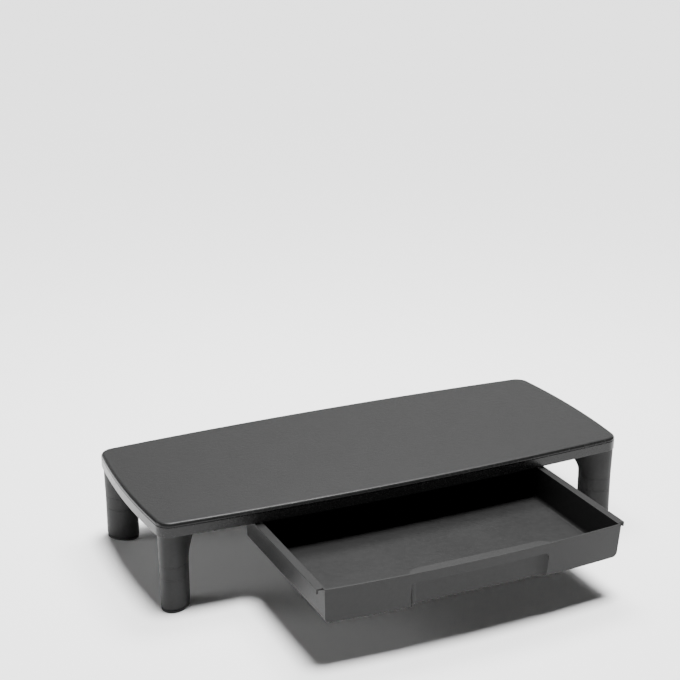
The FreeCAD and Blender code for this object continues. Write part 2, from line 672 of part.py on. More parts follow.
def make_drawer():
    wall = of("drawer_wall")
    tip = f"({FRONT_CORNER} - {of('drawer_bow')} + {of('front_rake')})"
    radius = bow_radius(DRAWER_SIDE, of("drawer_bow"))
    floor = f"({DRAWER_BOTTOM} + {of('drawer_floor')})"
    inner_back = f"({DRAWER_BACK} - {wall})"
    block = boolean("Common", "drawer_block",
                    drawer_section("drawer_outside", "0", DRAWER_BOTTOM, RIM, DRAWER_BACK, of("keel_round")),
                    drawer_front("drawer_face", tip, radius, DRAWER_BACK, of("drawer_height")))
    space = boolean("Common", "drawer_space",
                    drawer_section("drawer_inside", wall, floor, f"({RIM} + {OVER})", inner_back,
                                   of("inner_round")),
                    drawer_front("drawer_inner_face", f"({tip} + {wall})", f"({radius} - {wall})",
                                 inner_back, f"({of('drawer_height')} + {OVER})"))

    pull_top = f"({RIM} - {of('drawer_floor')})"
    pull_bottom = f"({DRAWER_BOTTOM} - {OVER})"
    half = f"({of('pull_width')} / 2)"
    rim_tip = f"({FRONT_CORNER} - {of('drawer_bow')})"
    reach = f"({rim_tip} - {OVER})"
    face = f"({rim_tip} + {of('pull_depth')})"
    slant = of("pull_slant")
    pull = pull_block("pull_space", half, face, reach, slant, pull_bottom, pull_top,
                      of("pull_back_round"))
    # Both walls of the pull are one drawer wall apart, also across its slanted corners.
    outer_slant = f"({slant} + {wall} * {2 - math.sqrt(2)})"
    skin = pull_block("pull_skin", f"({half} + {wall})", f"({face} + {wall})", reach, outer_slant,
                      f"({floor} - {OVER})", RIM, f"({of('pull_back_round')} + {wall})")

    mouth = new_body("pull_mouth")
    front_view = sketch_on(mouth, "mouth_view", "XZ_Plane", f"-{face}")
    mouth_top = f"({RIM} - {of('pull_lip')})"
    draw_outline(front_view, [(f"-{half}", pull_bottom), (half, pull_bottom),
                              (half, mouth_top), (f"-{half}", mouth_top)])
    pad(mouth, front_view, f"({of('pull_depth')} + {OVER})")
    fillet(mouth, of("pull_round"), lambda edge: edge.BoundBox.ZMin > value(mouth_top) - NEAR
           and edge.BoundBox.XLength < OVER, "mouth_round")

    cavity = boolean("Cut", "drawer_cavity", space, skin)
    tray = boolean("Cut", "drawer_tray", block, cavity)
    grip = boolean("Common", "pull_grip", pull, fused("pull_reach", [mouth, space]))
    gripped = boolean("Cut", "drawer_gripped", tray, grip)

    flange = new_body("drawer_flange")
    view = sketch_on(flange, "flange_view", "XZ_Plane", f"-{DRAWER_BACK}")
    root = f"({DRAWER_SIDE} - {wall} / 2)"
    under = f"({RIM} - {of('flange_thickness')})"
    lip_in = f"({FLANGE_EDGE} - {of('lip_wall')})"
    lip_bottom = f"({RIM} - {of('lip_height')})"
    draw_outline(view, [(root, under), (lip_in, under), (lip_in, lip_bottom), (FLANGE_EDGE, lip_bottom),
                        (FLANGE_EDGE, RIM), (root, RIM)])
    pad(flange, view, f"({of('drawer_length')} - {of('flange_start')})")
    tab = sketch_on(flange, "tab_view", "XZ_Plane", f"-{DRAWER_BACK}")
    tab_top = f"({RIM} + {of('tab_height')})"
    tab_inner = f"({DRAWER_SIDE} + {of('shelf_play')})"
    draw_outline(tab, [(tab_inner, RIM), (FLANGE_EDGE, RIM), (FLANGE_EDGE, tab_top), (tab_inner, tab_top)])
    pad(flange, tab, of("tab_length"))
    other = mirrored("drawer_flange_left", flange, FreeCAD.Vector(1, 0, 0))
    return fused("drawer", [gripped, flange, other])


pieces = [make_deck()]
pieces += make_rail()
pieces += make_legs()
pieces.append(make_drawer())
doc.recompute()

for thing in doc.Objects:
    if "Invalid" in thing.State or "Error" in thing.State:
        raise RuntimeError(f"{thing.Name} is {thing.State}")

os.makedirs("parts", exist_ok=True)
for piece in pieces:
    piece.Label = piece.Name
    shape = piece.Shape
    if shape.isNull() or not shape.isValid():
        raise RuntimeError(f"{piece.Name} has no valid shape")
    shape.exportStep(f"parts/{piece.Label}.step")
    print(f"{piece.Label}: {len(shape.Solids)} solids, {shape.Volume / 1000:.2f} cm3")
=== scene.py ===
"""A monitor stand with a drawer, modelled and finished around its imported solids."""

import math
from contextlib import contextmanager

import bmesh
import bpy
from bpy.props import FloatProperty, FloatVectorProperty, IntProperty, PointerProperty
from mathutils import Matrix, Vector


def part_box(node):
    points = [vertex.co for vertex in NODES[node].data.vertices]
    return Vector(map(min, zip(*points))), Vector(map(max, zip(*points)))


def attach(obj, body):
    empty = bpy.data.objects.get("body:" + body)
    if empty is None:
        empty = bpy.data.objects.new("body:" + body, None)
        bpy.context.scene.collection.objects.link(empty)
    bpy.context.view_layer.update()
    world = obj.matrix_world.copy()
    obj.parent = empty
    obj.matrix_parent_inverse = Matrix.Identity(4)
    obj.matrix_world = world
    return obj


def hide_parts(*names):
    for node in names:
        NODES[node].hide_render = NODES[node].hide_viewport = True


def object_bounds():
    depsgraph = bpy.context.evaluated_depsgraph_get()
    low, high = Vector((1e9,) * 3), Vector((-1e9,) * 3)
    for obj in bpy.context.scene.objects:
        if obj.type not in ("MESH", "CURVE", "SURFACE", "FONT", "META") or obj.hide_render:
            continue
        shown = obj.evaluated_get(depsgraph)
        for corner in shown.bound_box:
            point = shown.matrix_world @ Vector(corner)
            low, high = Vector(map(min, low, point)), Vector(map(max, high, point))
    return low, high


bl_info = {
    "name": "Monitor Stand with Drawer",
    "version": (1, 0, 0),
    "blender": (4, 5, 0),
    "location": "3D View > Sidebar > Monitor Stand",
    "description": "Models a bowed deck, its stacked legs and the drawer on rails, and lights them",
    "category": "Object",
}

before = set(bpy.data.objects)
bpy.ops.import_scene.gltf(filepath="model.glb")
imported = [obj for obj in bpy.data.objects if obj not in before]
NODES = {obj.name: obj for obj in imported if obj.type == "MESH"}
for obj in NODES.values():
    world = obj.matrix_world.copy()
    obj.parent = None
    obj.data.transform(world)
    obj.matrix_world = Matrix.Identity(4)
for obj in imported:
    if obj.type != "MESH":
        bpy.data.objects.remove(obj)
SOLIDS_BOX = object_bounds()
DECK_LOW, DECK_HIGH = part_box("deck")
DRAWER_LOW, DRAWER_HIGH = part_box("drawer")
FLOOR = SOLIDS_BOX[0][2]

MM = 0.001
# Two lengths within NEAR are the same. An edge or a normal runs along an axis where its share of it is above
# ALONG, and a face is upright where its normal's share of Z is below LEANING.
NEAR = 0.00001
ALONG = 0.9
LEANING = 0.5
# Edges that turn by more degrees than this stay sharp.
CREASE = 35
CORNERS = {"fl": (-1, -1), "fr": (1, -1), "bl": (-1, 1), "br": (1, 1)}
RAILS = ("rail_left", "rail_right")


def length(name, description, default):
    """A size that a user can change, in metres."""
    return FloatProperty(name=name, description=description, default=default, min=0, precision=5,
                         subtype="DISTANCE", unit="LENGTH")


def tint(name, description, default):
    """A linear colour that a user can change."""
    return FloatVectorProperty(name=name, description=description, default=default, subtype="COLOR",
                               min=0, max=1)


class DeckSizes(bpy.types.PropertyGroup):
    """Sizes of the deck."""

    width: length("Width", "Over the bowed sides", DECK_HIGH.x - DECK_LOW.x)
    depth: length("Depth", "Over the bowed front and back", 248 * MM)
    height: length("Height", "From the skirt's lower edge to the top", DECK_HIGH.z - DECK_LOW.z)
    side_bow: length("Side bow", "Rise of the sides' curve", 7 * MM)
    front_bow: length("Front bow", "Rise of the front's and the back's curve", 10 * MM)
    corner: length("Corner radius", "Radius of the corners in plan", 17 * MM)
    edge_round: length("Edge round", "Radius of the bullnose", 4 * MM)
    groove_top: length("Groove top", "From the top face down to the groove", 4.2 * MM)
    groove_height: length("Groove height", "Height of the groove under the bullnose", 0.9 * MM)
    groove_depth: length("Groove depth", "Depth of that groove", 1 * MM)
    panel: length("Panel", "Thickness of the top panel", 3 * MM)
    wall: length("Skirt wall", "Thickness of the skirt", 2.5 * MM)
    rib: length("Rib thickness", "Thickness of the ribs under the panel", 1.8 * MM)
    rib_height: length("Rib height", "Height of those ribs", 9 * MM)
    cross_ribs: IntProperty(name="Cross ribs", description="Ribs from front to back", default=7, min=0)
    long_ribs: IntProperty(name="Long ribs", description="Ribs from side to side", default=2, min=0)


class LegSizes(bpy.types.PropertyGroup):
    """Sizes of the legs."""

    edge_x: length("Inset from the side", "From the deck's side to the leg's axis", 26.5 * MM)
    edge_y: length("Inset from the front", "From the deck's front to the leg's axis", 28.6 * MM)
    long: length("Long half", "Half length of the oval section", 20 * MM)
    short: length("Short half", "Half width of the oval section", 15.1 * MM)
    neck_long: length("Neck growth, long", "Growth of the long half at the deck", 1 * MM)
    neck_short: length("Neck growth, short", "Growth of the short half at the deck", 3 * MM)
    flare: length("Flare", "Reach of the leg's top towards the deck's middle", 14 * MM)
    top_height: length("Top piece", "Height of the flared piece", 37.8 * MM)
    spacer_height: length("Spacer", "Height of the spacer", 15.5 * MM)
    foot_height: length("Foot", "Height of the foot", 34.8 * MM)
    pad_height: length("Pad", "Height of the rubber pad", 4.4 * MM)
    pad_step: length("Pad step", "Step from the foot's face in to the pad's", 0.5 * MM)
    seam: length("Seam chamfer", "Chamfer along the seams between leg pieces", 0.22 * MM)


class DrawerSizes(bpy.types.PropertyGroup):
    """Sizes of the drawer."""

    width: length("Width", "Between the outer faces of the sides", 358 * MM)
    height: length("Height", "From the bottom to the rim", 40 * MM)
    bow: length("Front bow", "Rise of the front's curve", 8.2 * MM)
    rake: length("Front rake", "Lean of the front over its height", 3 * MM)
    draft: length("Side draft", "Lean of each side over its height", 2 * MM)
    wall: length("Wall", "Thickness of the walls", 2.3 * MM)
    floor: length("Floor", "Thickness of the floor", 2.2 * MM)
    keel: length("Keel round", "Radius of the lower edges along the sides", 5.5 * MM)
    toe: length("Toe round", "Radius of the front's lower edge", 1.2 * MM)
    inner_round: length("Inner round", "Radius between floor and walls inside", 4 * MM)
    flange: length("Flange width", "Reach of the flanges beyond the sides", 7 * MM)
    flange_wall: length("Flange wall", "Thickness of the flanges and their lips", 2 * MM)
    flange_start: length("Flange start", "From the front corner to the flange", 5 * MM)
    lip: length("Lip height", "Height of a flange's lip", 5.5 * MM)
    tab: length("Stop tab", "Length of the stop tab at a flange's back end", 6 * MM)
    tab_height: length("Stop tab height", "Height of the tab over the rim", 1.5 * MM)
    tab_inset: length("Stop tab inset", "From the side's outer face to the tab", 1.5 * MM)
    pull_width: length("Pull width", "Width of the finger pull between its square ends", 166 * MM)
    pull_depth: length("Pull depth", "From the rim's foremost point to the pull's back", 10 * MM)
    pull_slant: length("Pull slant", "Slanted corners between the pull's ends and its back", 6 * MM)
    pull_round: length("Pull round", "Radius between those corners and the back", 12 * MM)
    pull_lip: length("Pull lip", "Height of the front left over the pull", 11.5 * MM)
    mouth_round: length("Mouth round", "Radius of the pull's upper corners in the front", 5 * MM)
    mouth_edge: length("Mouth edge", "Radius of the soft edge round the pull's mouth", 1.4 * MM)
    rim_edge: length("Rim edge", "Radius of the soft edges along the rim", 0.35 * MM)


class Colours(bpy.types.PropertyGroup):
    """Colours of the plastics, the rubber and the stage."""

    deck: tint("Deck", "Moulded plastic of the deck", (0.009, 0.009, 0.009))
    legs: tint("Legs", "Moulded plastic of the legs", (0.016, 0.016, 0.016))
    drawer: tint("Drawer", "Moulded plastic of the drawer", (0.011, 0.011, 0.011))
    rails: tint("Rails", "Moulded plastic of the rails", (0.016, 0.016, 0.016))
    pads: tint("Pads", "Rubber of the foot pads", (0.009, 0.009, 0.009))
    screws: tint("Screws", "Plated steel of the screws", (0.35, 0.35, 0.36))
    floor: tint("Floor", "Paper under the stand", (0.9, 0.9, 0.9))


# Choosing edges and faces


def pick(kind, test):
    """Select the vertices, edges or faces that pass a test, and nothing else."""
    bpy.ops.mesh.select_mode(type=kind)
    bpy.ops.mesh.select_all(action="DESELECT")
    mesh = bpy.context.edit_object.data
    cage = bmesh.from_edit_mesh(mesh)
    found = {"VERT": cage.verts, "EDGE": cage.edges, "FACE": cage.faces}[kind]
    chosen = [item for item in found if not item.hide and test(item)]
    if not chosen:
        raise RuntimeError(f"no {kind.lower()} of {bpy.context.edit_object.name} passes the test")
    for item in chosen:
        item.select_set(True)
    cage.select_flush_mode()
    bmesh.update_edit_mesh(mesh)


def middle(edge):
    """The middle of an edge."""
    return (edge.verts[0].co + edge.verts[1].co) / 2


def runs(edge):
    """The direction of an edge as absolute shares of X, Y and Z."""
    step = (edge.verts[1].co - edge.verts[0].co).normalized()
    return Vector((abs(step.x), abs(step.y), abs(step.z)))


def upright(face):
    """Whether a face stands rather than lies."""
    return abs(face.normal.z) < LEANING


def near(one, other):
    """Whether two lengths are the same."""
    return abs(one - other) < NEAR


# Modelling helpers


@contextmanager
def editing(piece):
    """Edit mode on one piece and nothing else."""
    bpy.ops.object.select_all(action="DESELECT")
    bpy.context.view_layer.objects.active = piece
    piece.select_set(True)
    bpy.ops.object.mode_set(mode="EDIT")
    yield
    bpy.ops.object.mode_set(mode="OBJECT")


def named(name):
    """Name the piece that an operator has just added, and its mesh."""
    piece = bpy.context.object
    piece.name = name
    piece.data.name = name
    return piece


def sheet(name, low, high, level):
    """A level rectangle between two corners."""
    bpy.ops.object.select_all(action="DESELECT")
    bpy.ops.mesh.primitive_plane_add(size=1, location=((low[0] + high[0]) / 2, (low[1] + high[1]) / 2, level))
    piece = named(name)
    piece.scale = (high[0] - low[0], high[1] - low[1], 1)
    bpy.ops.object.transform_apply(location=True, rotation=False, scale=True)
    return piece


def block(name, low, high):
    """An upright block between two corners, with its edges sharp."""
    piece = sheet(name, low, high, low[2])
    with editing(piece):
        pick("FACE", lambda face: True)
        extrude((0, 0, high[2] - low[2]))
        outwards()
    return piece


def outwards():
    """Turn all faces of the edited piece outwards."""
    bpy.ops.mesh.select_all(action="SELECT")
    bpy.ops.mesh.normals_make_consistent(inside=False)


def extrude(step):
    """Pull the selection out by a step."""
    bpy.ops.mesh.extrude_region_move(TRANSFORM_OT_translate={"value": step})


def crossed(place, normal):
    """Give the edited piece new edges wherever a plane passes through it."""
    bpy.ops.mesh.select_all(action="SELECT")
    bpy.ops.mesh.bisect(plane_co=place, plane_no=normal)


def bevel(width, segments, clamp=True):
    """Round the selected edges; clamped rounds stop where they would run into each other."""
    bpy.ops.mesh.bevel(offset=width, offset_type="OFFSET", segments=segments, profile=0.5, affect="EDGES",
                       clamp_overlap=clamp)


def bow(test, pull, reach):
    """Bow a straight row of vertices: pull moves its middle, and the pull fades to nothing at reach."""
    pick("VERT", test)
    bpy.ops.mesh.hide(unselected=True)
    mesh = bpy.context.edit_object.data
    row = [vertex.co.copy() for vertex in bmesh.from_edit_mesh(mesh).verts if not vertex.hide]
    centre = sum(row, Vector()) / len(row)
    nearest = min(row, key=lambda spot: (spot - centre).length)
    pick("VERT", lambda vertex: (vertex.co - nearest).length < NEAR)
    bpy.ops.transform.translate(value=pull, use_proportional_edit=True, proportional_size=reach,
                                proportional_edit_falloff="INVERSE_SQUARE")
    bpy.ops.mesh.reveal()


def cut(piece, tool, operation="DIFFERENCE", keep=False):
    """Cut a piece with another, join them or keep what they share; the tool goes unless kept."""
    change = piece.modifiers.new("cut", "BOOLEAN")
    change.operation = operation
    change.solver = "EXACT"
    change.object = tool
    bpy.context.view_layer.objects.active = piece
    bpy.ops.object.modifier_apply(modifier=change.name)
    if not keep:
        bpy.data.objects.remove(tool)
    return piece


def joined(pieces, name):
    """Several pieces as one."""
    bpy.ops.object.select_all(action="DESELECT")
    for piece in pieces:
        piece.select_set(True)
    bpy.context.view_layer.objects.active = pieces[0]
    bpy.ops.object.join()
    return named(name)


def copied(piece, name):
    """A copy of a piece with a mesh of its own."""
    twin = piece.copy()
    twin.data = piece.data.copy()
    twin.name = name
    twin.data.name = name
    bpy.context.scene.collection.objects.link(twin)
    return twin


def settle(piece):
    """Move a piece's place and turn into its mesh."""
    bpy.ops.object.select_all(action="DESELECT")
    bpy.context.view_layer.objects.active = piece
    piece.select_set(True)
    bpy.ops.object.transform_apply(location=True, rotation=True, scale=True)


def smooth(piece, crease=CREASE):
    """Shade a finished piece smooth, apart from its creases."""
    bpy.ops.object.select_all(action="DESELECT")
    bpy.context.view_layer.objects.active = piece
    piece.select_set(True)
    bpy.ops.object.shade_smooth_by_angle(angle=math.radians(crease))
    # Flat faces keep their own shading, so that a round edge doesn't tint them.
    change = piece.modifiers.new("flats", "WEIGHTED_NORMAL")
    change.keep_sharp = True
    bpy.ops.object.modifier_apply(modifier=change.name)


def dress(piece, body, slot, finish, *nodes):
    """Hang a finished piece on its body, give it its finish and let it stand for its solids."""
    piece.data.materials.clear()
    piece.data.materials.append(finish)
    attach(piece, body)
    if nodes:
        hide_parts(*nodes)


# Shader expressions


class Signal:
    """A socket of a material; arithmetic on it adds Math nodes."""

    def __init__(self, finish, socket):
        self.finish = finish
        self.socket = socket

    def math(self, operation, *values):
        return self.finish.add("ShaderNodeMath", {"operation": operation}, dict(enumerate(values)))

    def __add__(self, other):
        return self.math("ADD", self, other)

    def __sub__(self, other):
        return self.math("SUBTRACT", self, other)

    def __rsub__(self, other):
        return self.math("SUBTRACT", other, self)

    def __mul__(self, other):
        return self.math("MULTIPLY", self, other)

    __radd__ = __add__
    __rmul__ = __mul__

    def between(self, low, high):
        """0 below low and 1 above high, with a smooth step."""
        return self.finish.add("ShaderNodeMapRange", {"interpolation_type": "SMOOTHSTEP"},
                               {"Value": self, "From Min": low, "From Max": high})

    def spread(self, low, high):
        """Low where the signal is 0, and high where it is 1."""
        return low + self * (high - low)


class Finish:
    """A material, or the world, whose nodes are added by one method."""

    def __init__(self, holder, shader="Principled BSDF"):
        self.holder = holder
        holder.use_nodes = True
        self.tree = holder.node_tree
        self.shader = self.tree.nodes[shader]

    def add(self, kind, settings=None, sockets=None, output=0):
        """Add a node, make its settings, then fill its sockets, and give one of its outputs."""
        made = self.tree.nodes.new(kind)
        for key, setting in (settings or {}).items():
            setattr(made, key, setting)
        for key, given in (sockets or {}).items():
            self.fill(made.inputs[key], given)
        return Signal(self, made.outputs[output])

    def fill(self, socket, given):
        """Link a signal to a socket, or set the socket to a value."""
        if isinstance(given, Signal):
            self.tree.links.new(given.socket, socket)
        else:
            socket.default_value = given

    def place(self):
        """Where a point lies on the object, in metres."""
        return self.add("ShaderNodeTexCoord", output="Object")

    def height(self):
        """The height of a point in the object's frame."""
        return self.add("ShaderNodeSeparateXYZ", sockets={"Vector": self.place()}, output="Z")

    def noise(self, size, detail=2.0, roughness=0.5):
        """Noise whose features are about size across."""
        return self.add("ShaderNodeTexNoise", sockets={
            "Vector": self.place(), "Scale": 1 / size, "Detail": detail, "Roughness": roughness})

    def toned(self, share, colour, low, high):
        """A colour that goes from low times to high times its brightness."""
        return self.add("ShaderNodeMix", {"data_type": "RGBA"},
                        {"Factor": share, "A": shade(colour, low), "B": shade(colour, high)}, output="Result")

    def bump(self, height, depth):
        """A relief that rises by a depth where the height signal goes from 0 to 1."""
        return self.add("ShaderNodeBump", sockets={"Height": height, "Distance": depth})

    def shine(self, **values):
        """Fill the shader's own sockets; underscores stand for spaces."""
        for key, given in values.items():
            self.fill(self.shader.inputs[key.replace("_", " ")], given)
        return self.holder


def finish_of(name):
    """A new material to build a finish in."""
    return Finish(bpy.data.materials.new(name))


def shade(colour, share):
    """A colour made lighter or darker by a share, with full alpha."""
    return tuple(min(1.0, channel * share) for channel in colour) + (1.0,)


def mixed(layers, shares):
    """Layers of noise added up, each by its share."""
    total = layers[0] * shares[0]
    for layer, share in zip(layers[1:], shares[1:]):
        total = total + layer * share
    return total


# Finishes


MOTTLE = 4.5 * MM
CLOUD = 50 * MM
# How much the grain, the mottle and the clouds add to the tone, the roughness and the relief.
TONE_SHARES = (0.35, 0.4, 0.25)
ROUGHNESS_SHARES = (0.08, 0.08, 0.06)
RELIEF_SHARES = (0.6, 0.4)
POLISH = 0.17
POLISHED_RELIEF = 0.25
POLISH_FADE = 0.6 * MM


def moulded(name, colour, grain=1.2 * MM, depth=0.2 * MM, roughness=0.53, sheen=0.2, smooth_below=None):
    """Spark-eroded plastic: a fine grain, a mottle and faint flow clouds, more polished below a height."""
    finish = finish_of(name)
    layers = (finish.noise(grain, detail=3.0, roughness=0.65), finish.noise(MOTTLE), finish.noise(CLOUD))
    base = finish.toned(mixed(layers, TONE_SHARES), colour, low=0.4, high=1.6)
    # Noise is about a half on average, so half of its shares is taken off again.
    gloss = mixed(layers, ROUGHNESS_SHARES) + (roughness - sum(ROUGHNESS_SHARES) / 2)
    relief = mixed(layers[:2], RELIEF_SHARES)
    if smooth_below is not None:
        grained = finish.height().between(smooth_below - POLISH_FADE, smooth_below)
        gloss = gloss + grained.spread(-POLISH, 0)
        relief = relief * grained.spread(POLISHED_RELIEF, 1)
    return finish.shine(Base_Color=base, Roughness=gloss, Normal=finish.bump(relief, depth),
                        Specular_IOR_Level=sheen)


def rubber(name, colour):
    """Dull rubber with a fine dusty bloom."""
    finish = finish_of(name)
    bloom = finish.noise(4 * MM, detail=4.0)
    pores = finish.noise(0.6 * MM)
    return finish.shine(Base_Color=finish.toned(bloom, colour, low=0.8, high=1.7),
                        Roughness=bloom.spread(0.72, 0.88), Normal=finish.bump(pores, 0.05 * MM))


def plated(name, colour):
    """Zinc-plated steel with faint turning marks."""
    finish = finish_of(name)
    marks = finish.noise(0.4 * MM)
    return finish.shine(Base_Color=finish.toned(marks, colour, low=0.85, high=1.15), Metallic=1.0,
                        Roughness=marks.spread(0.3, 0.45))


# Deck


OUTLINE_CUTS = 63
CORNER_SEGMENTS = 14
# The outline's points nearer to a corner than this many times the round's reach make way for the round.
CORNER_CLEARANCE = 1.2
BULLNOSE_SEGMENTS = 8
SKIRT_EDGE = 0.5 * MM
RIB_EDGE = 0.4 * MM
EDGE_SEGMENTS = 2
POST = 8 * MM
COLLAR_GAP = 0.05 * MM
SCREW_INSET = 5.6 * MM
SCREW_END = 14 * MM


def deck_outline(deck):
    """The deck in plan: four bowed sides with round corners, filled in."""
    half_width = deck.width / 2 - deck.side_bow
    half_depth = deck.depth / 2 - deck.front_bow
    outline = sheet("deck_shell", (-half_width, -half_depth), (half_width, half_depth), 0)

    def from_corner(vertex):
        return math.hypot(half_width - abs(vertex.co.x), half_depth - abs(vertex.co.y))

    # The bowed sides meet at more than a right angle, so the round starts this far from the corner.
    opening = math.pi / 4 + math.atan(deck.side_bow * 2 / half_depth) / 2
    opening += math.atan(deck.front_bow * 2 / half_width) / 2
    start = deck.corner / math.tan(opening)
    with editing(outline):
        bpy.ops.mesh.select_all(action="SELECT")
        bpy.ops.mesh.delete(type="ONLY_FACE")
        bpy.ops.mesh.select_all(action="SELECT")
        bpy.ops.mesh.subdivide(number_cuts=OUTLINE_CUTS)
        for side in (-1, 1):
            bow(lambda vertex: vertex.co.y * side > half_depth - NEAR,
                (0, side * deck.front_bow, 0), half_width)
            bow(lambda vertex: vertex.co.x * side > half_width - NEAR,
                (side * deck.side_bow, 0, 0), half_depth)
        pick("VERT", lambda vertex: NEAR < from_corner(vertex) < start * CORNER_CLEARANCE)
        bpy.ops.mesh.dissolve_verts()
        pick("VERT", lambda vertex: from_corner(vertex) < NEAR)
        bpy.ops.mesh.bevel(offset=start, segments=CORNER_SEGMENTS, affect="VERTICES", clamp_overlap=False)
        pick("VERT", lambda vertex: True)
        bpy.ops.mesh.edge_face_add()
    return outline


def deck_shell(deck):
    """The deck's shell: its outline pulled down, rounded on top, grooved, and hollowed from below."""
    groove_high = -deck.groove_top
    groove_low = groove_high - deck.groove_height
    shell = deck_outline(deck)
    with editing(shell):
        pick("FACE", lambda face: True)
        extrude((0, 0, -deck.height))
        outwards()
        pick("EDGE", lambda edge: near(middle(edge).z, 0))
        bevel(deck.edge_round, BULLNOSE_SEGMENTS)
        for level in (groove_high, groove_low):
            crossed((0, 0, level), (0, 0, 1))
        pick("FACE", lambda face: groove_low < face.calc_center_median().z < groove_high and upright(face))
        bpy.ops.mesh.extrude_region_shrink_fatten(TRANSFORM_OT_shrink_fatten={"value": -deck.groove_depth})
        pick("FACE", lambda face: near(face.calc_center_median().z, -deck.height))
        bpy.ops.mesh.inset(thickness=deck.wall, use_even_offset=True)
        extrude((0, 0, deck.height - deck.panel))
        pick("EDGE", lambda edge: near(middle(edge).z, -deck.height)
             and sum(upright(face) for face in edge.link_faces) == 1)
        bevel(SKIRT_EDGE, EDGE_SEGMENTS)
    return shell


def deck_ribs(deck):
    """Ribs that cross under the panel, with their lower edges rounded."""
    ribs = []
    low = -deck.panel - deck.rib_height
    high = -deck.panel / 2
    thick = deck.rib / 2
    half_width = deck.width / 2
    half_depth = deck.depth / 2
    for number in range(deck.cross_ribs):
        x = (2 * (number + 1) / (deck.cross_ribs + 1) - 1) * half_width
        reach = half_depth - deck.wall / 2 - deck.front_bow * (x / half_width) ** 2
        ribs.append(block(f"cross_rib_{number}", (x - thick, -reach, low), (x + thick, reach, high)))
    for number in range(deck.long_ribs):
        y = (2 * (number + 1) / (deck.long_ribs + 1) - 1) * half_depth
        reach = half_width - deck.wall / 2 - deck.side_bow * (y / half_depth) ** 2
        ribs.append(block(f"long_rib_{number}", (-reach, y - thick, low), (reach, y + thick, high)))
    for rib in ribs:
        with editing(rib):
            pick("EDGE", lambda edge: near(middle(edge).z, low) and edge.calc_length() > 2 * deck.rib)
            bevel(RIB_EDGE, EDGE_SEGMENTS)
    return ribs


def screw_places(rail):
    """Where a rail is screwed to the deck, near its two ends, each with the height of the rail's top."""
    low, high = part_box(rail)
    outer = low.x if rail == "rail_left" else high.x
    x = outer - math.copysign(SCREW_INSET, outer)
    return [(x, y, high.z) for y in (low.y + SCREW_END, high.y - SCREW_END)]


def deck_posts(deck, legs):
    """The posts above the rails, and the collars that hold the legs' plugs."""
    posts = []
    high = -deck.panel / 2
    for rail in RAILS:
        for x, y, top in screw_places(rail):
            posts.append(block(f"{rail}_post", (x - POST / 2, y - POST / 2, top),
                               (x + POST / 2, y + POST / 2, high)))
    for corner in CORNERS:
        rings = [(level, legs.long, legs.short, 0) for level in (-deck.height + COLLAR_GAP, high)]
        posts.append(at_corner(oval_stack(f"collar_{corner}", rings), corner, deck, legs))
    return posts


class STAND_OT_deck(bpy.types.Operator):
    """Model the deck with its bullnose, groove, skirt, ribs and posts"""

    bl_idname = "stand.deck"
    bl_label = "Deck"

    def execute(self, context):
        deck = context.scene.stand_deck
        legs = context.scene.stand_legs
        under = deck_ribs(deck) + deck_posts(deck, legs)
        shell = joined([deck_shell(deck), *under], "deck_dressed")
        smooth(shell)
        finish = moulded("deck_grain", context.scene.stand_colours.deck, grain=1.4 * MM, depth=0.36 * MM,
                         roughness=0.43, sheen=0.27, smooth_below=-0.4 * MM)
        dress(shell, "stand", "deck_plastic", finish, "deck")
        return {"FINISHED"}


# Legs


RING = 96
FLARE_RINGS = 14
# The flare fades out over this share of the top piece.
FLARE_SHARE = 0.85


def oval_stack(name, rings):
    """A closed form through level ovals, each a height, a half length, a half width and a shift along X."""
    height, long, short, shift = rings[0]
    bpy.ops.object.select_all(action="DESELECT")
    bpy.ops.mesh.primitive_circle_add(vertices=RING, radius=1, fill_type="NGON")
    piece = named(name)
    with editing(piece):
        bpy.ops.mesh.select_all(action="SELECT")
        bpy.ops.transform.resize(value=(long, short, 1), center_override=(0, 0, 0))
        bpy.ops.transform.translate(value=(shift, 0, height))
        for next_height, next_long, next_short, next_shift in rings[1:]:
            extrude((next_shift - shift, 0, next_height - height))
            bpy.ops.transform.resize(value=(next_long / long, next_short / short, 1),
                                     center_override=(next_shift, 0, next_height))
            height, long, short, shift = next_height, next_long, next_short, next_shift
        outwards()
    return piece


def chamfer_ends(piece, width, *levels):
    """Chamfer the end edges of a stacked form at one or two levels."""
    with editing(piece):
        pick("EDGE", lambda edge: any(near(middle(edge).z, level) for level in levels))
        bevel(width, 1)
    return piece


def at_corner(piece, corner, deck, legs):
    """Turn a form's X towards the deck's middle and stand it on a leg's axis."""
    sign_x, sign_y = CORNERS[corner]
    piece.rotation_euler.z = math.atan2(-sign_y, -sign_x)
    piece.location = (sign_x * (deck.width / 2 - legs.edge_x), sign_y * (deck.depth / 2 - legs.edge_y), 0)
    settle(piece)
    return piece


def leg_levels(deck, legs):
    """The heights of the seams, from the deck's lower edge to the floor."""
    levels = [-deck.height]
    for height in (legs.top_height, legs.spacer_height, legs.foot_height, legs.pad_height):
        levels.append(levels[-1] - height)
    return levels


def flared_rings(legs, low, high):
    """The top piece's ovals: they grow towards the deck, and one end reaches out in a soft S."""
    rings = []
    for number in range(FLARE_RINGS + 1):
        share = number / FLARE_RINGS
        turn = min((1 - share) / FLARE_SHARE, 1) * math.pi
        half_flare = legs.flare * (1 + math.cos(turn)) / 4
        rings.append((low + (high - low) * share, legs.long + legs.neck_long * share + half_flare,
                      legs.short + legs.neck_short * share, half_flare))
    return rings


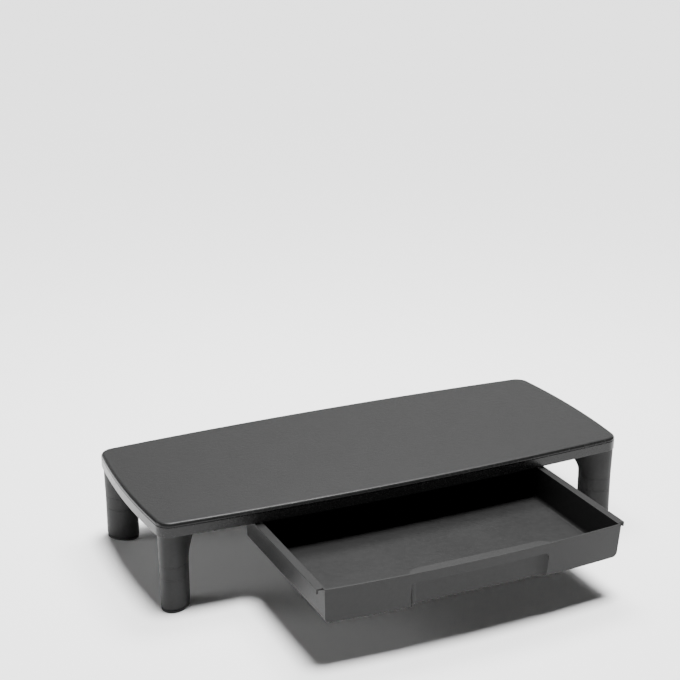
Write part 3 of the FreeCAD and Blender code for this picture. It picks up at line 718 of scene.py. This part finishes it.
class STAND_OT_leg_tops(bpy.types.Operator):
    """Model the flared top pieces of the legs"""

    bl_idname = "stand.leg_tops"
    bl_label = "Leg tops"

    def execute(self, context):
        deck = context.scene.stand_deck
        legs = context.scene.stand_legs
        high, low = leg_levels(deck, legs)[:2]
        master = chamfer_ends(oval_stack("leg_top", flared_rings(legs, low, high)), legs.seam, low)
        finish = moulded("leg_grain", context.scene.stand_colours.legs)
        for side, corners in (("back", ("bl", "br")), ("front", ("fl", "fr"))):
            pair = [at_corner(copied(master, f"leg_top_{corner}"), corner, deck, legs) for corner in corners]
            tops = joined(pair, f"leg_tops_{side}_dressed")
            smooth(tops)
            dress(tops, "stand", "leg_plastic", finish, f"leg_tops_{side}")
        bpy.data.objects.remove(master)
        return {"FINISHED"}


class STAND_OT_leg_segments(bpy.types.Operator):
    """Model the spacers and the feet, with chamfered seams"""

    bl_idname = "stand.leg_segments"
    bl_label = "Spacers and feet"

    def execute(self, context):
        deck = context.scene.stand_deck
        legs = context.scene.stand_legs
        finish = moulded("segment_grain", context.scene.stand_colours.legs)
        levels = leg_levels(deck, legs)
        for kind, high, low in (("spacer", levels[1], levels[2]), ("foot", levels[2], levels[3])):
            rings = [(level, legs.long, legs.short, 0) for level in (low, high)]
            master = chamfer_ends(oval_stack(f"leg_{kind}", rings), legs.seam, low, high)
            smooth(master)
            for corner in CORNERS:
                piece = at_corner(copied(master, f"leg_{kind}_{corner}_dressed"), corner, deck, legs)
                dress(piece, "stand", "leg_plastic", finish, f"leg_{kind}_{corner}")
            bpy.data.objects.remove(master)
        return {"FINISHED"}


# Foot pads


PAD_EDGE = 0.6 * MM
# The pad's shoulder and neck, measured down from the foot.
SHOULDER_LOW = 2 * MM
SHOULDER_HIGH = 1.7 * MM
SHOULDER_STEP = 0.1 * MM
NECK_HEIGHT = 0.9 * MM
NECK_STEP = 1.2 * MM
TREAD_GAPS = (3 * MM, 2 * MM)
TREAD_SLOPE = 0.8 * MM
TREAD_DEPTH = 0.5 * MM


def pad_form(legs, low, high):
    """A pad with a chamfered foot and a neck under the leg, and shallow rings in its tread."""
    long = legs.long - legs.pad_step
    short = legs.short - legs.pad_step
    profile = ((low, PAD_EDGE), (low + PAD_EDGE, 0), (high - SHOULDER_LOW, 0),
               (high - SHOULDER_HIGH, SHOULDER_STEP), (high - NECK_HEIGHT, NECK_STEP), (high, NECK_STEP))
    pad = oval_stack("foot_pad", [(level, long - step, short - step, 0) for level, step in profile])
    with editing(pad):
        for gap in TREAD_GAPS:
            pick("FACE", lambda face: near(face.calc_center_median().z, low) and len(face.verts) == RING)
            bpy.ops.mesh.inset(thickness=gap)
            for rise in (TREAD_DEPTH, -TREAD_DEPTH):
                bpy.ops.mesh.inset(thickness=TREAD_SLOPE)
                extrude((0, 0, rise))
        outwards()
    return pad


class STAND_OT_foot_pads(bpy.types.Operator):
    """Model the rubber pads, each with a groove round it and a tread of shallow rings"""

    bl_idname = "stand.foot_pads"
    bl_label = "Foot pads"

    def execute(self, context):
        deck = context.scene.stand_deck
        legs = context.scene.stand_legs
        high, low = leg_levels(deck, legs)[3:]
        master = pad_form(legs, low, high)
        smooth(master)
        finish = rubber("pad_rubber", context.scene.stand_colours.pads)
        for corner in CORNERS:
            piece = at_corner(copied(master, f"foot_pad_{corner}_dressed"), corner, deck, legs)
            dress(piece, "stand", "pad_rubber", finish, f"foot_pad_{corner}")
        bpy.data.objects.remove(master)
        return {"FINISHED"}


# Drawer


FRONT_CUTS = 47
KEEL_SEGMENTS = 7
TOE_SEGMENTS = 3
TOE_REACH = 20 * MM
PULL_SEGMENTS = 8
MOUTH_SEGMENTS = 6
MOUTH_EDGE_SEGMENTS = 4
# Cutting forms run past what they cut by this much.
OVERCUT = 1 * MM
# A face looks forwards where its normal's Y is below the first, and away from the front above the second.
FORWARDS = -0.95
NOT_FORWARDS = -0.5
DRAWER_CREASE = 32


def rim_level(drawer):
    """The height of the drawer's rim, over which only the stop tabs stand."""
    return DRAWER_HIGH.z - drawer.tab_height


def raked_block(name, drawer, inset, low, high, keel):
    """A block with a bowed front that leans forwards, drafted sides, and round lower edges on all three."""
    lean = drawer.rake / drawer.height
    draft = drawer.draft / drawer.height
    tip = DRAWER_LOW.y
    back = DRAWER_HIGH.y - inset
    rim = rim_level(drawer)
    half_low = drawer.width / 2 - inset - draft * (rim - low)
    half_high = drawer.width / 2 - inset - draft * (rim - high)
    front = tip + inset + drawer.bow + lean * (rim - low)
    shift = lean * (high - low)
    piece = sheet(name, (-half_low, front), (half_low, back), low)
    with editing(piece):
        bpy.ops.mesh.select_all(action="SELECT")
        bpy.ops.mesh.delete(type="ONLY_FACE")
        pick("EDGE", lambda edge: near(middle(edge).y, front))
        bpy.ops.mesh.subdivide(number_cuts=FRONT_CUTS)
        bow(lambda vertex: near(vertex.co.y, front), (0, -drawer.bow, 0), half_low)
        pick("VERT", lambda vertex: True)
        bpy.ops.mesh.edge_face_add()
        extrude((0, -shift, high - low))
        bpy.ops.transform.resize(value=(half_high / half_low, 1, 1), center_override=(0, 0, 0))
        # The back stays upright, so its upper edge goes back to where it was.
        pick("VERT", lambda vertex: near(vertex.co.z, high) and near(vertex.co.y, back - shift))
        bpy.ops.transform.translate(value=(0, shift, 0))
        outwards()
        pick("EDGE", lambda edge: near(middle(edge).z, low) and runs(edge).y > ALONG)
        bevel(keel, KEEL_SEGMENTS)
        pick("EDGE", lambda edge: near(middle(edge).z, low) and runs(edge).x > ALONG
             and middle(edge).y < tip + TOE_REACH)
        bevel(drawer.toe, TOE_SEGMENTS)
    return piece


def pull_form(name, half, face, reach, slant, low, high, corner):
    """The finger pull's form: a flat back, slanted corners with a round, square ends and an open front."""
    piece = block(name, (-half, reach, low), (half, face, high))

    def back_edge(edge):
        return runs(edge).z > ALONG and near(middle(edge).y, face)

    with editing(piece):
        pick("EDGE", back_edge)
        bevel(slant, 1)
        # The slanted corner turns by 45 degrees, so its round starts this share of the radius away.
        pick("EDGE", back_edge)
        bevel(corner * math.tan(math.pi / 8), PULL_SEGMENTS)
    return piece


def pull_mouth(drawer, half, face, reach, low, high):
    """The opening that the pull leaves in the drawer's front, with its upper corners round."""
    mouth = block("pull_mouth", (-half, reach, low), (half, face, high))
    with editing(mouth):
        pick("EDGE", lambda edge: near(middle(edge).z, high) and runs(edge).y > ALONG)
        bevel(drawer.mouth_round, MOUTH_SEGMENTS)
    return mouth


def drawer_tray(drawer):
    """The tray with its finger pull, whose skin stands inside it one wall away from the pull's space."""
    rim = rim_level(drawer)
    low = rim - drawer.height
    half = drawer.pull_width / 2
    face = DRAWER_LOW.y + drawer.pull_depth
    reach = DRAWER_LOW.y - OVERCUT
    tray = raked_block("drawer_dressed", drawer, 0, low, rim, drawer.keel)
    space = raked_block("drawer_space", drawer, drawer.wall, low + drawer.floor, rim + OVERCUT,
                        drawer.inner_round)
    pull = pull_form("pull_space", half, face, reach, drawer.pull_slant, low - OVERCUT, rim - drawer.floor,
                     drawer.pull_round)
    # One wall further out, a slanted corner is longer by this much of the wall.
    skin_slant = drawer.pull_slant + drawer.wall * (2 - math.sqrt(2))
    skin = pull_form("pull_skin", half + drawer.wall, face + drawer.wall, reach, skin_slant, low,
                     rim + 2 * OVERCUT, drawer.pull_round + drawer.wall)
    mouth = pull_mouth(drawer, half, face, reach, low - OVERCUT, rim - drawer.pull_lip)
    # The hollow goes round the skin, and the grip and the mouth are cut out of what is left.
    grip = cut(copied(pull, "pull_inside"), space, "INTERSECT", keep=True)
    cut(tray, cut(space, skin))
    cut(tray, grip)
    cut(tray, cut(mouth, pull, "INTERSECT"))
    return tray


def soften_mouth(tray, drawer):
    """Round the edge that the pull's mouth leaves in the drawer's front."""
    half = drawer.pull_width / 2
    rim = rim_level(drawer)
    low = rim - drawer.height
    top = rim - drawer.pull_lip

    def mouth_edge(edge):
        spot = middle(edge)
        return (edge.is_convex and abs(spot.x) < half + NEAR and low + NEAR < spot.z < top + NEAR
                and any(face.normal.y < FORWARDS for face in edge.link_faces)
                and any(face.normal.y > NOT_FORWARDS for face in edge.link_faces))

    with editing(tray):
        pick("EDGE", mouth_edge)
        bevel(drawer.mouth_edge, MOUTH_EDGE_SEGMENTS)


def soften_rim(tray, drawer):
    """Merge the doubled points that the cuts leave, and round the edges along the rim."""
    rim = rim_level(drawer)

    def rim_edge(edge):
        return (near(middle(edge).z, rim) and edge.is_convex
                and edge.calc_face_angle(0) > math.radians(DRAWER_CREASE))

    with editing(tray):
        bpy.ops.mesh.select_all(action="SELECT")
        bpy.ops.mesh.remove_doubles(threshold=NEAR)
        pick("EDGE", rim_edge)
        bevel(drawer.rim_edge, EDGE_SEGMENTS, clamp=False)


def flange(drawer, side):
    """One of the flanges that run in the rails: a shelf with a lip that hangs down, and a stop tab."""
    rim = rim_level(drawer)
    root = drawer.width / 2 - drawer.wall / 2
    edge_x = drawer.width / 2 + drawer.flange
    lip_x = edge_x - drawer.flange_wall
    tab_x = drawer.width / 2 + drawer.tab_inset
    front = DRAWER_LOW.y + drawer.bow + drawer.flange_start
    back = DRAWER_HIGH.y
    tab_y = back - drawer.tab
    piece = block(f"flange_{side}", (root, front, rim - drawer.flange_wall), (edge_x, back, rim))
    with editing(piece):
        crossed((lip_x, 0, 0), (1, 0, 0))
        pick("FACE", lambda face: face.normal.z < -ALONG and face.calc_center_median().x > lip_x)
        extrude((0, 0, drawer.flange_wall - drawer.lip))
        crossed((0, tab_y, 0), (0, 1, 0))
        crossed((tab_x, 0, 0), (1, 0, 0))
        pick("FACE", lambda face: face.normal.z > ALONG and face.calc_center_median().y > tab_y
             and face.calc_center_median().x > tab_x)
        extrude((0, 0, drawer.tab_height))
    if side == "left":
        piece.scale.x = -1
        settle(piece)
        with editing(piece):
            outwards()
    return piece


class STAND_OT_drawer(bpy.types.Operator):
    """Model the drawer: a raked bow front with a finger pull, drafted sides and flanges"""

    bl_idname = "stand.drawer"
    bl_label = "Drawer"

    def execute(self, context):
        drawer = context.scene.stand_drawer
        tray = drawer_tray(drawer)
        soften_mouth(tray, drawer)
        for side in ("left", "right"):
            cut(tray, flange(drawer, side), "UNION")
        soften_rim(tray, drawer)
        smooth(tray, DRAWER_CREASE)
        finish = moulded("drawer_grain", context.scene.stand_colours.drawer, roughness=0.48, sheen=0.25)
        dress(tray, "drawer", "drawer_plastic", finish, "drawer")
        return {"FINISHED"}


# Rails and screws


RAIL_WEB = 2.2 * MM
HEAD_RADIUS = 3.4 * MM
HEAD_HEIGHT = 2.2 * MM
HEAD_SIDES = 32
HEAD_ROUND = 1.1 * MM
HEAD_SEGMENTS = 5
RECESS_WIDTH = 0.9 * MM
RECESS_LENGTH = 4 * MM
RECESS_DEPTH = 1.2 * MM


def screw_head(seat):
    """A pan head under a seat, with a cross recess."""
    bpy.ops.object.select_all(action="DESELECT")
    bpy.ops.mesh.primitive_cylinder_add(vertices=HEAD_SIDES, radius=HEAD_RADIUS, depth=HEAD_HEIGHT,
                                        location=seat - Vector((0, 0, HEAD_HEIGHT / 2)))
    head = named("screw_head")
    settle(head)
    low = seat.z - HEAD_HEIGHT
    with editing(head):
        pick("EDGE", lambda edge: near(middle(edge).z, low))
        bevel(HEAD_ROUND, HEAD_SEGMENTS)
    for across, along in ((RECESS_WIDTH, RECESS_LENGTH), (RECESS_LENGTH, RECESS_WIDTH)):
        recess = block("recess", (seat.x - across / 2, seat.y - along / 2, low - OVERCUT),
                       (seat.x + across / 2, seat.y + along / 2, low + RECESS_DEPTH))
        cut(head, recess)
    return head


class STAND_OT_rails(bpy.types.Operator):
    """Finish the rails and screw them to the deck's posts"""

    bl_idname = "stand.rails"
    bl_label = "Rails and screws"

    def execute(self, context):
        colours = context.scene.stand_colours
        finish = moulded("rail_plastic", colours.rails, roughness=0.4)
        steel = plated("screw_plating", colours.screws)
        for rail in RAILS:
            NODES[rail].data.materials.clear()
            NODES[rail].data.materials.append(finish)
            heads = [screw_head(Vector((x, y, top - RAIL_WEB))) for x, y, top in screw_places(rail)]
            screws = joined(heads, f"{rail}_screws")
            smooth(screws)
            dress(screws, "stand", "rail_plastic", steel)
        return {"FINISHED"}


# Stage


FLOOR_SIZE = 30
FLOOR_SHIFT = 5
FLOOR_ROUGHNESS = 0.9
FIBRE = 0.5
# The backdrop's direction in plan, and the shares of direction between which its sides, its top and the
# pale horizon fade out.
BACKDROP_X = 0.6
BACKDROP_Y = 0.8
BACKDROP_SIDES = (0.62, 0.92)
BACKDROP_TOP = (0.36, 0.52)
HORIZON_TOP = (0.02, 0.18)
CAMERA_PLACE = (-0.7507, -1.5549, 0.7303)
CAMERA_PITCH = 19.125
CAMERA_TURN = 24.911
CAMERA_LENS = 82.04
CAMERA_SENSOR = 36


def lamp(name, place, aim, size, power):
    """A soft rectangular light that looks at a point."""
    data = bpy.data.lights.new(name, "AREA")
    data.shape = "RECTANGLE"
    data.size, data.size_y = size
    data.energy = power
    light = bpy.data.objects.new(name, data)
    light.location = place
    light.rotation_euler = (Vector(aim) - Vector(place)).to_track_quat("-Z", "Y").to_euler()
    bpy.context.scene.collection.objects.link(light)


def sky_light(name, towards, angle, strength):
    """A soft light from far away, so that it falls evenly over the whole floor."""
    data = bpy.data.lights.new(name, "SUN")
    data.angle = math.radians(angle)
    data.energy = strength
    light = bpy.data.objects.new(name, data)
    light.rotation_euler = Vector(towards).to_track_quat("Z", "Y").to_euler()
    bpy.context.scene.collection.objects.link(light)


def surroundings(dim, backdrop, horizon):
    """A dim world with a pale horizon all round and a bright backdrop low behind the stand."""
    glow = Finish(bpy.data.worlds.new("surroundings"), "Background")
    direction = glow.add("ShaderNodeTexCoord", output="Generated")
    x, y, z = (glow.add("ShaderNodeSeparateXYZ", sockets={"Vector": direction}, output=axis)
               for axis in "XYZ")
    behind = (x * BACKDROP_X + y * BACKDROP_Y).between(*BACKDROP_SIDES)
    low = 1 - z.between(*BACKDROP_TOP)
    rim = 1 - z.between(*HORIZON_TOP)
    return glow.shine(Color=(1, 1, 1, 1), Strength=behind * low * backdrop + rim * horizon + dim)


def paper_floor(colour):
    """A wide sheet of plain paper under the stand."""
    bpy.ops.object.select_all(action="DESELECT")
    bpy.ops.mesh.primitive_plane_add(size=FLOOR_SIZE, location=(0, FLOOR_SHIFT, FLOOR))
    floor = named("floor")
    settle(floor)
    paper = finish_of("floor_paper")
    base = paper.toned(paper.noise(FIBRE, detail=1.0), colour, low=0.99, high=1.01)
    floor.data.materials.append(paper.shine(Base_Color=base, Roughness=FLOOR_ROUGHNESS))
    return floor


def camera_at(place, pitch, turn):
    """A camera at a place, turned down by its pitch and right by its turn, in degrees."""
    data = bpy.data.cameras.new("camera")
    data.sensor_width = CAMERA_SENSOR
    data.lens = CAMERA_LENS
    camera = bpy.data.objects.new("camera", data)
    camera.location = place
    camera.rotation_euler = (math.radians(90 - pitch), 0, math.radians(-turn))
    bpy.context.scene.collection.objects.link(camera)
    return camera


class STAND_OT_stage(bpy.types.Operator):
    """Set the floor, the soft lights, the surroundings and the camera"""

    bl_idname = "stand.stage"
    bl_label = "Stage"

    def execute(self, context):
        scene = context.scene
        paper_floor(scene.stand_colours.floor)
        sky_light("key", towards=(0.09, 0, 1), angle=18, strength=8.8)
        lamp("left_wall", place=(-1.7, 0.4, 0.35), aim=(-0.1, -0.2, -0.05), size=(0.8, 0.6), power=9)
        lamp("strip", place=(0.25, 0.3, 1.1), aim=(0, -0.1, 0), size=(0.6, 0.45), power=20)
        scene.world = surroundings(dim=0.02, backdrop=1.0, horizon=1.7)
        scene.camera = camera_at(CAMERA_PLACE, CAMERA_PITCH, CAMERA_TURN)
        return {"FINISHED"}


# Panel and registration


STEPS = (STAND_OT_stage, STAND_OT_deck, STAND_OT_leg_tops, STAND_OT_leg_segments, STAND_OT_foot_pads,
         STAND_OT_drawer, STAND_OT_rails)


class STAND_PT_panel(bpy.types.Panel):
    """The stand's steps, in the order in which they are run"""

    bl_idname = "STAND_PT_panel"
    bl_label = "Monitor Stand"
    bl_space_type = "VIEW_3D"
    bl_region_type = "UI"
    bl_category = "Monitor Stand"

    def draw(self, context):
        for step in STEPS:
            self.layout.operator(step.bl_idname)
        for group in (context.scene.stand_deck, context.scene.stand_legs, context.scene.stand_drawer,
                      context.scene.stand_colours):
            column = self.layout.column(align=True)
            for name in group.__annotations__:
                column.prop(group, name)


GROUPS = {"stand_deck": DeckSizes, "stand_legs": LegSizes, "stand_drawer": DrawerSizes,
          "stand_colours": Colours}


def register():
    for kind in (*GROUPS.values(), *STEPS, STAND_PT_panel):
        bpy.utils.register_class(kind)
    for name, group in GROUPS.items():
        setattr(bpy.types.Scene, name, PointerProperty(type=group))


def unregister():
    for name in GROUPS:
        delattr(bpy.types.Scene, name)
    for kind in (STAND_PT_panel, *reversed(STEPS), *reversed(GROUPS.values())):
        bpy.utils.unregister_class(kind)


def main():
    register()
    bpy.ops.stand.stage()
    bpy.ops.stand.deck()
    bpy.ops.stand.leg_tops()
    bpy.ops.stand.leg_segments()
    bpy.ops.stand.foot_pads()
    bpy.ops.stand.drawer()
    bpy.ops.stand.rails()


if __name__ == "__main__":
    main()
